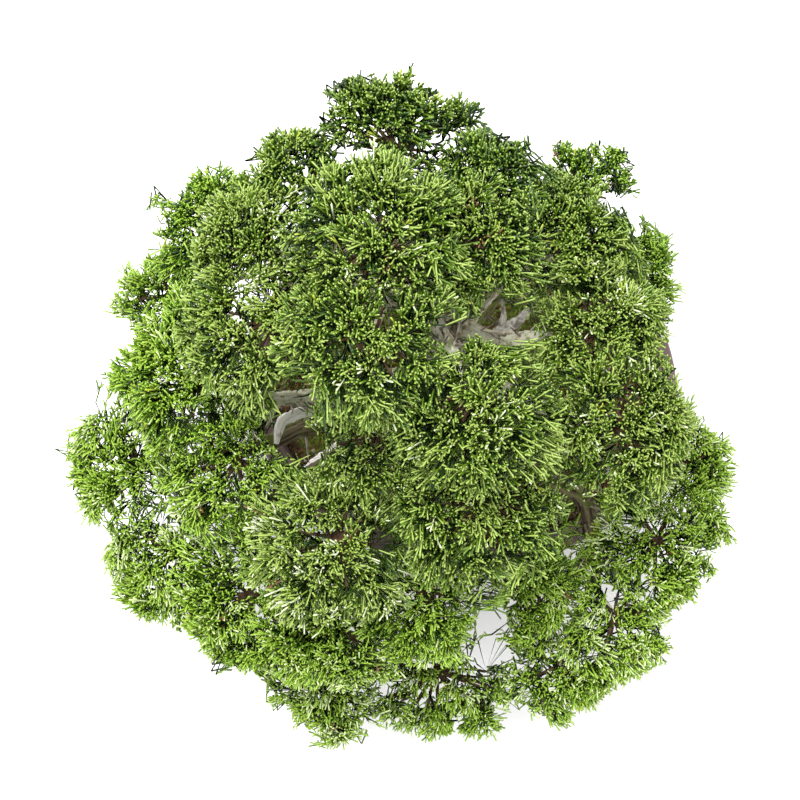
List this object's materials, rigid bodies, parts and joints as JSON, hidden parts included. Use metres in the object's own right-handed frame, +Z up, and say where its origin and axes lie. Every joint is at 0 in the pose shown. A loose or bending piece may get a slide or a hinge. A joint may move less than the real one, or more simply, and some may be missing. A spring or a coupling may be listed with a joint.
{
  "type": "chinese juniper bonsai",
  "caption": "Potted chinese juniper bonsai: a leaning flared trunk, tapering boughs, bleached dead wood and clipped cloud-like foliage masses in an oval unglazed pot",
  "frame": {"origin": "centre of the pot's flat underside", "axes": "+Z up out of the pot; +X along the pot's long side; +Y towards the tree's back"},
  "size_m": [0.4435, 0.4341, 0.3725],
  "materials": {
    "pot": "matte",
    "soil": "matte",
    "bark": "matte",
    "deadwood": "matte",
    "foliage": "matte"
  },
  "bodies": {
    "root": {"bough_back": "bark", "bough_back_right_low": "bark", "bough_front": "bark", "bough_front_high": "bark", "bough_front_left": "bark", "bough_front_low": "bark", "bough_front_low_left": "bark", "bough_front_middle": "bark", "bough_left_back": "bark", "bough_left_front": "bark", "bough_left_high": "bark", "bough_left_low": "bark", "bough_left_middle": "bark", "bough_right": "bark", "bough_right_back": "bark", "bough_right_fork": "bark", "bough_right_front": "bark", "bough_right_high": "bark", "bough_right_low": "bark", "bough_top_back": "bark", "bough_top_right": "bark", "deadwood_foot": "deadwood", "deadwood_left": "deadwood", "deadwood_right": "deadwood", "mass_lower_back_left": "foliage", "mass_lower_back_right": "foliage", "mass_lower_far_right": "foliage", "mass_lower_front": "foliage", "mass_lower_front_left": "foliage", "mass_lower_front_right": "foliage", "mass_lower_inner_front": "foliage", "mass_lower_left": "foliage", "mass_lower_left_front": "foliage", "mass_lower_right": "foliage", "mass_lower_right_back": "foliage", "mass_lower_right_front": "foliage", "mass_middle_back_left": "foliage", "mass_middle_front": "foliage", "mass_middle_front_left": "foliage", "mass_middle_front_right": "foliage", "mass_middle_left": "foliage", "mass_middle_left_front": "foliage", "mass_top_back": "foliage", "mass_top_back_right": "foliage", "mass_top_front": "foliage", "mass_top_right": "foliage", "mass_upper_back": "foliage", "mass_upper_back_left": "foliage", "mass_upper_back_right": "foliage", "mass_upper_front": "foliage", "mass_upper_front_left": "foliage", "mass_upper_inner_front": "foliage", "mass_upper_left": "foliage", "mass_upper_left_back": "foliage", "mass_upper_right": "foliage", "mass_upper_right_back": "foliage", "mass_upper_right_front": "foliage", "pot": "pot", "soil": "soil", "trunk": "bark"}
  },
  "joints": []
}
